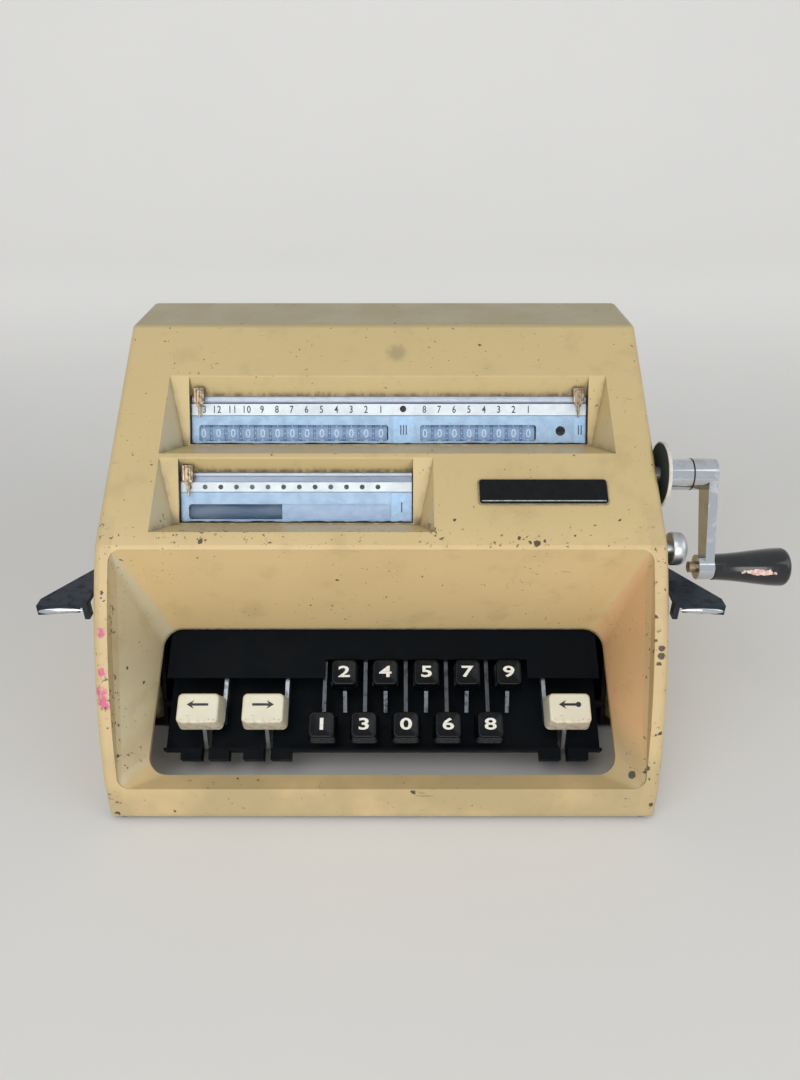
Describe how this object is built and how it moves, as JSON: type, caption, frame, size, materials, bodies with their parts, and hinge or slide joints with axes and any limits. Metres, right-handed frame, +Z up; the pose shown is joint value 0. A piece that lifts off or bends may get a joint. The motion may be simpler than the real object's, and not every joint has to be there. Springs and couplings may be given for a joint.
{
  "type": "pinwheel calculator",
  "caption": "Hand-cranked desk calculator in a moulded case, with a sloping window panel, a bevelled keyboard opening and a side crank.",
  "frame": {"origin": "on the table, at the middle of the whole machine with its crank at rest", "axes": "+Z up, the keyboard faces -Y, +X to the operator's right, where the crank is"},
  "size_m": [0.3708, 0.232, 0.2054],
  "materials": {
    "black_cap": "two-shot moulded key cap",
    "black_enamel": "satin black enamel",
    "black_plate": "gloss black, bare",
    "blue_mask": "pale blue enamel",
    "chrome_plate": "polished chrome plate",
    "clear_pane": "clear moulded acrylic",
    "cream_enamel": "satin stoved enamel, worn",
    "drum_grey": "moulded drum",
    "foot_rubber": "matt moulded rubber",
    "gear_brass": "hobbed brass",
    "grip_black": "turned black plastic",
    "ivory_cap": "moulded ivory key cap",
    "lever_steel": "stamped steel",
    "number_wheel": "moulded number wheels",
    "plated_steel": "zinc plated steel",
    "pointer_brass": "worn brass",
    "white_disc": "turned white nylon",
    "white_strip": "printed white strip",
    "wing_steel": "chromed stamping"
  },
  "bodies": {
    "case": {"base_plate": "black_enamel", "case_screws": "plated_steel", "cross_rods": "plated_steel", "dot_bar": "white_strip", "feet": "foot_rubber", "housing": "cream_enamel", "key_bed": "black_enamel", "key_cover": "black_enamel", "lower_mask": "blue_mask", "lower_window": "clear_pane", "nameplate": "black_plate", "side_plates": "plated_steel", "upper_mask": "blue_mask", "upper_scale": "white_strip", "upper_window": "clear_pane"},
    "digit_key_0": {"digit_cap_0": "black_cap", "digit_lever_0": "lever_steel"},
    "digit_key_1": {"digit_cap_1": "black_cap", "digit_lever_1": "lever_steel"},
    "digit_key_2": {"digit_cap_2": "black_cap", "digit_lever_2": "lever_steel"},
    "digit_key_3": {"digit_cap_3": "black_cap", "digit_lever_3": "lever_steel"},
    "digit_key_4": {"digit_cap_4": "black_cap", "digit_lever_4": "lever_steel"},
    "digit_key_5": {"digit_cap_5": "black_cap", "digit_lever_5": "lever_steel"},
    "digit_key_6": {"digit_cap_6": "black_cap", "digit_lever_6": "lever_steel"},
    "digit_key_7": {"digit_cap_7": "black_cap", "digit_lever_7": "lever_steel"},
    "digit_key_8": {"digit_cap_8": "black_cap", "digit_lever_8": "lever_steel"},
    "digit_key_9": {"digit_cap_9": "black_cap", "digit_lever_9": "lever_steel"},
    "left_function_key": {"left_function_cap": "ivory_cap", "left_function_lever": "lever_steel"},
    "second_function_key": {"second_function_cap": "ivory_cap", "second_function_lever": "lever_steel"},
    "right_function_key": {"right_function_cap": "ivory_cap", "right_function_lever": "lever_steel"},
    "crank": {"crank_shaft": "plated_steel", "crank_disc": "white_disc", "crank_sleeve": "chrome_plate", "crank_arm": "chrome_plate", "grip_pin": "plated_steel"},
    "grip": {"crank_grip": "grip_black"},
    "idler": {"idler_gear": "gear_brass"},
    "rotor": {"rotor_shaft": "plated_steel", "rotor_wheels": "plated_steel"},
    "result_wheels_row": {"result_wheels": "number_wheel"},
    "counter_wheels_row": {"counter_wheels": "number_wheel"},
    "drum": {"setting_drum": "drum_grey"},
    "upper_left_pointer_slider": {"upper_left_pointer": "pointer_brass"},
    "upper_right_pointer_slider": {"upper_right_pointer": "pointer_brass"},
    "lower_pointer_slider": {"lower_pointer": "pointer_brass"},
    "shutter_slider": {"shutter": "blue_mask"},
    "knob": {"push_knob": "chrome_plate"},
    "left_wing": {"left_wing_lever": "wing_steel"},
    "right_wing": {"right_wing_lever": "wing_steel"}
  },
  "joints": [
    {"name": "digit_key_0_press", "type": "hinge", "parent": "case", "child": "digit_key_0", "pos_m": [0, -0.01, 0.07651], "axis": [1, 0, 0], "range_deg": [0, 3], "stiffness_Nm_per_rad": 0.3, "springref_deg": -5.73},
    {"name": "digit_key_1_press", "type": "hinge", "parent": "case", "child": "digit_key_1", "pos_m": [0, -0.01, 0.07651], "axis": [1, 0, 0], "range_deg": [0, 3], "stiffness_Nm_per_rad": 0.3, "springref_deg": -5.73},
    {"name": "digit_key_2_press", "type": "hinge", "parent": "case", "child": "digit_key_2", "pos_m": [0, -0.01, 0.07651], "axis": [1, 0, 0], "range_deg": [0, 3], "stiffness_Nm_per_rad": 0.3, "springref_deg": -5.73},
    {"name": "digit_key_3_press", "type": "hinge", "parent": "case", "child": "digit_key_3", "pos_m": [0, -0.01, 0.07651], "axis": [1, 0, 0], "range_deg": [0, 3], "stiffness_Nm_per_rad": 0.3, "springref_deg": -5.73},
    {"name": "digit_key_4_press", "type": "hinge", "parent": "case", "child": "digit_key_4", "pos_m": [0, -0.01, 0.07651], "axis": [1, 0, 0], "range_deg": [0, 3], "stiffness_Nm_per_rad": 0.3, "springref_deg": -5.73},
    {"name": "digit_key_5_press", "type": "hinge", "parent": "case", "child": "digit_key_5", "pos_m": [0, -0.01, 0.07651], "axis": [1, 0, 0], "range_deg": [0, 3], "stiffness_Nm_per_rad": 0.3, "springref_deg": -5.73},
    {"name": "digit_key_6_press", "type": "hinge", "parent": "case", "child": "digit_key_6", "pos_m": [0, -0.01, 0.07651], "axis": [1, 0, 0], "range_deg": [0, 3], "stiffness_Nm_per_rad": 0.3, "springref_deg": -5.73},
    {"name": "digit_key_7_press", "type": "hinge", "parent": "case", "child": "digit_key_7", "pos_m": [0, -0.01, 0.07651], "axis": [1, 0, 0], "range_deg": [0, 3], "stiffness_Nm_per_rad": 0.3, "springref_deg": -5.73},
    {"name": "digit_key_8_press", "type": "hinge", "parent": "case", "child": "digit_key_8", "pos_m": [0, -0.01, 0.07651], "axis": [1, 0, 0], "range_deg": [0, 3], "stiffness_Nm_per_rad": 0.3, "springref_deg": -5.73},
    {"name": "digit_key_9_press", "type": "hinge", "parent": "case", "child": "digit_key_9", "pos_m": [0, -0.01, 0.07651], "axis": [1, 0, 0], "range_deg": [0, 3], "stiffness_Nm_per_rad": 0.3, "springref_deg": -5.73},
    {"name": "left_function_key_press", "type": "hinge", "parent": "case", "child": "left_function_key", "pos_m": [0, -0.01, 0.07651], "axis": [1, 0, 0], "range_deg": [0, 3], "stiffness_Nm_per_rad": 0.3, "springref_deg": -5.73},
    {"name": "second_function_key_press", "type": "hinge", "parent": "case", "child": "second_function_key", "pos_m": [0, -0.01, 0.07651], "axis": [1, 0, 0], "range_deg": [0, 3], "stiffness_Nm_per_rad": 0.3, "springref_deg": -5.73},
    {"name": "right_function_key_press", "type": "hinge", "parent": "case", "child": "right_function_key", "pos_m": [0, -0.01, 0.07651], "axis": [1, 0, 0], "range_deg": [0, 3], "stiffness_Nm_per_rad": 0.3, "springref_deg": -5.73},
    {"name": "crank_turn", "type": "hinge", "parent": "case", "child": "crank", "pos_m": [0, -0.0211, 0.1474], "axis": [1, 0, 0], "continuous": true},
    {"name": "grip_spin", "type": "hinge", "parent": "crank", "child": "grip", "pos_m": [0, -0.04205, 0.10444], "axis": [1, 0, 0], "continuous": true},
    {"name": "idler_turn", "type": "hinge", "parent": "case", "child": "idler", "pos_m": [0, 0.0033, 0.12231], "axis": [1, 0, 0], "continuous": true},
    {"name": "rotor_turn", "type": "hinge", "parent": "case", "child": "rotor", "pos_m": [0, 0.0277, 0.09722], "axis": [1, 0, 0], "continuous": true},
    {"name": "result_wheels_turn", "type": "hinge", "parent": "case", "child": "result_wheels_row", "pos_m": [0, 0.01667, 0.15292], "axis": [1, 0, 0], "continuous": true},
    {"name": "counter_wheels_turn", "type": "hinge", "parent": "case", "child": "counter_wheels_row", "pos_m": [0, 0.01667, 0.15292], "axis": [1, 0, 0], "continuous": true},
    {"name": "setting_drum_turn", "type": "hinge", "parent": "case", "child": "drum", "pos_m": [0, -0.02375, 0.12725], "axis": [1, 0, 0], "continuous": true},
    {"name": "upper_left_pointer_slide", "type": "slide", "parent": "case", "child": "upper_left_pointer_slider", "axis": [1, 0, 0], "range_m": [0, 0.09]},
    {"name": "upper_right_pointer_slide", "type": "slide", "parent": "case", "child": "upper_right_pointer_slider", "axis": [1, 0, 0], "range_m": [-0.08, 0]},
    {"name": "lower_pointer_slide", "type": "slide", "parent": "case", "child": "lower_pointer_slider", "axis": [1, 0, 0], "range_m": [0, 0.1]},
    {"name": "shutter_slide", "type": "slide", "parent": "case", "child": "shutter_slider", "axis": [1, 0, 0], "range_m": [-0.044, 0]},
    {"name": "knob_push", "type": "slide", "parent": "case", "child": "knob", "axis": [-1, 0, 0], "range_m": [0, 0.004], "stiffness_N_per_m": 300, "springref_m": -0.004},
    {"name": "left_wing_pull", "type": "hinge", "parent": "case", "child": "left_wing", "pos_m": [0, -0.044, 0.107], "axis": [1, 0, 0], "range_deg": [0, 25], "stiffness_Nm_per_rad": 0.3, "springref_deg": -11.46},
    {"name": "right_wing_pull", "type": "hinge", "parent": "case", "child": "right_wing", "pos_m": [0, -0.044, 0.107], "axis": [1, 0, 0], "range_deg": [0, 25], "stiffness_Nm_per_rad": 0.3, "springref_deg": -11.46}
  ],
  "couplings": [
    {"joint": "idler_turn", "follows": "crank_turn", "ratio": -0.25},
    {"joint": "rotor_turn", "follows": "crank_turn", "ratio": 1}
  ]
}
